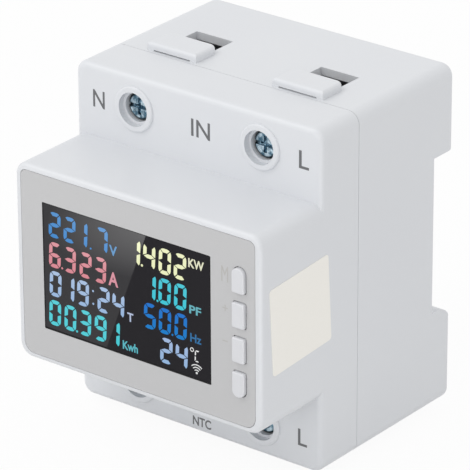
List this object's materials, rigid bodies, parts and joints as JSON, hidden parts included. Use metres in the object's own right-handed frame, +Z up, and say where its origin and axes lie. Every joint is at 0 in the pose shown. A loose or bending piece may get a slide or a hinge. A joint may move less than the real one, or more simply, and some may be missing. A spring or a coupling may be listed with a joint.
{
  "type": "energy meter",
  "caption": "Rail-mounted energy meter with a colour display, a column of keys, screw terminals in raised rings, hooded wire entries and a sprung rail clip.",
  "frame": {"origin": "centre of the flat floor of the rail channel in the back", "axes": "+X to the right seen from the front, +Y back through the rail, +Z up; the display faces -Y"},
  "size_m": [0.0721, 0.0744, 0.0904],
  "materials": {
    "housing_plastic": "satin",
    "key_plastic": "satin",
    "plate_plastic": "satin",
    "window_acrylic": "polished",
    "panel_glass": "polished",
    "backlight_plastic": "matt",
    "board_laminate": "satin",
    "screw_steel": "zinc plated",
    "switch_plastic": "matt",
    "shield_steel": "tinned",
    "header_plastic": "matt",
    "bar_brass": "stamped",
    "shunt_alloy": "stamped",
    "socket_plastic": "satin",
    "clip_plastic": "satin",
    "spring_steel": "bare",
    "label_paper": "coated",
    "terminal_screw_steel": "blue zinc plated",
    "cage_steel": "zinc plated",
    "transformer_ferrite": "taped",
    "capacitor_aluminium": "sleeved",
    "fuse_plastic": "satin",
    "varistor_coating": "dipped",
    "chip_plastic": "matt",
    "relay_plastic": "satin",
    "coil_steel": "wound and taped"
  },
  "bodies": {
    "case": {"front_cover": "housing_plastic", "rear_base": "housing_plastic", "face_plate": "plate_plastic", "display_window": "window_acrylic", "lcd_panel": "panel_glass", "lcd_backlight": "backlight_plastic", "display_board": "board_laminate", "main_board": "board_laminate", "display_screws": "screw_steel", "board_screws": "screw_steel", "tact_switches": "switch_plastic", "radio_module": "shield_steel", "board_header": "header_plastic", "neutral_busbar": "bar_brass", "line_busbar_in": "bar_brass", "line_busbar_out": "bar_brass", "relay_blade": "bar_brass", "relay_posts": "bar_brass", "sense_pins": "bar_brass", "current_shunt": "shunt_alloy", "ntc_socket": "socket_plastic", "clip_spring": "spring_steel", "side_label": "label_paper", "supply_transformer": "transformer_ferrite", "filter_capacitor": "capacitor_aluminium", "input_fuse": "fuse_plastic", "varistor": "varistor_coating", "meter_chip": "chip_plastic", "relay_case": "relay_plastic", "relay_coil": "coil_steel"},
    "button_mode": {"button_mode": "key_plastic", "switch_plunger_mode": "switch_plastic"},
    "button_plus": {"button_plus": "key_plastic", "switch_plunger_plus": "switch_plastic"},
    "button_minus": {"button_minus": "key_plastic", "switch_plunger_minus": "switch_plastic"},
    "button_set": {"button_set": "key_plastic", "switch_plunger_set": "switch_plastic"},
    "screw_neutral_in": {"screw_neutral_in": "terminal_screw_steel"},
    "cage_neutral_in": {"cage_neutral_in": "cage_steel"},
    "screw_line_in": {"screw_line_in": "terminal_screw_steel"},
    "cage_line_in": {"cage_line_in": "cage_steel"},
    "screw_neutral_out": {"screw_neutral_out": "terminal_screw_steel"},
    "cage_neutral_out": {"cage_neutral_out": "cage_steel"},
    "screw_line_out": {"screw_line_out": "terminal_screw_steel"},
    "cage_line_out": {"cage_line_out": "cage_steel"},
    "rail_clip": {"rail_clip": "clip_plastic"}
  },
  "joints": [
    {"name": "button_mode_press", "type": "slide", "parent": "case", "child": "button_mode", "axis": [0, 1, 0], "range_m": [0, 0.0005], "stiffness_N_per_m": 3000},
    {"name": "button_plus_press", "type": "slide", "parent": "case", "child": "button_plus", "axis": [0, 1, 0], "range_m": [0, 0.0005], "stiffness_N_per_m": 3000},
    {"name": "button_minus_press", "type": "slide", "parent": "case", "child": "button_minus", "axis": [0, 1, 0], "range_m": [0, 0.0005], "stiffness_N_per_m": 3000},
    {"name": "button_set_press", "type": "slide", "parent": "case", "child": "button_set", "axis": [0, 1, 0], "range_m": [0, 0.0005], "stiffness_N_per_m": 3000},
    {"name": "screw_neutral_in_turn", "type": "hinge", "parent": "case", "child": "screw_neutral_in", "pos_m": [-0.0184, -0.03, 0.0346], "axis": [0, 1, 0], "range_deg": [0, 2520]},
    {"name": "screw_line_in_turn", "type": "hinge", "parent": "case", "child": "screw_line_in", "pos_m": [0.0184, -0.03, 0.0346], "axis": [0, 1, 0], "range_deg": [0, 2520]},
    {"name": "screw_neutral_out_turn", "type": "hinge", "parent": "case", "child": "screw_neutral_out", "pos_m": [-0.0184, -0.03, -0.0354], "axis": [0, 1, 0], "range_deg": [0, 2520]},
    {"name": "screw_line_out_turn", "type": "hinge", "parent": "case", "child": "screw_line_out", "pos_m": [0.0184, -0.03, -0.0354], "axis": [0, 1, 0], "range_deg": [0, 2520]},
    {"name": "cage_neutral_in_lift", "type": "slide", "parent": "case", "child": "cage_neutral_in", "axis": [0, -1, 0], "range_m": [0, 0.0056]},
    {"name": "cage_line_in_lift", "type": "slide", "parent": "case", "child": "cage_line_in", "axis": [0, -1, 0], "range_m": [0, 0.0056]},
    {"name": "cage_neutral_out_lift", "type": "slide", "parent": "case", "child": "cage_neutral_out", "axis": [0, -1, 0], "range_m": [0, 0.0056]},
    {"name": "cage_line_out_lift", "type": "slide", "parent": "case", "child": "cage_line_out", "axis": [0, -1, 0], "range_m": [0, 0.0056]},
    {"name": "rail_clip_pull", "type": "slide", "parent": "case", "child": "rail_clip", "axis": [0, 0, -1], "range_m": [0, 0.003], "stiffness_N_per_m": 2000, "deforming": ["clip_spring"]}
  ],
  "couplings": [
    {"joint": "screw_neutral_in_turn", "follows": "cage_neutral_in_lift", "rad_per_m": 7853.9},
    {"joint": "screw_line_in_turn", "follows": "cage_line_in_lift", "rad_per_m": 7853.9},
    {"joint": "screw_neutral_out_turn", "follows": "cage_neutral_out_lift", "rad_per_m": 7853.9},
    {"joint": "screw_line_out_turn", "follows": "cage_line_out_lift", "rad_per_m": 7853.9}
  ]
}
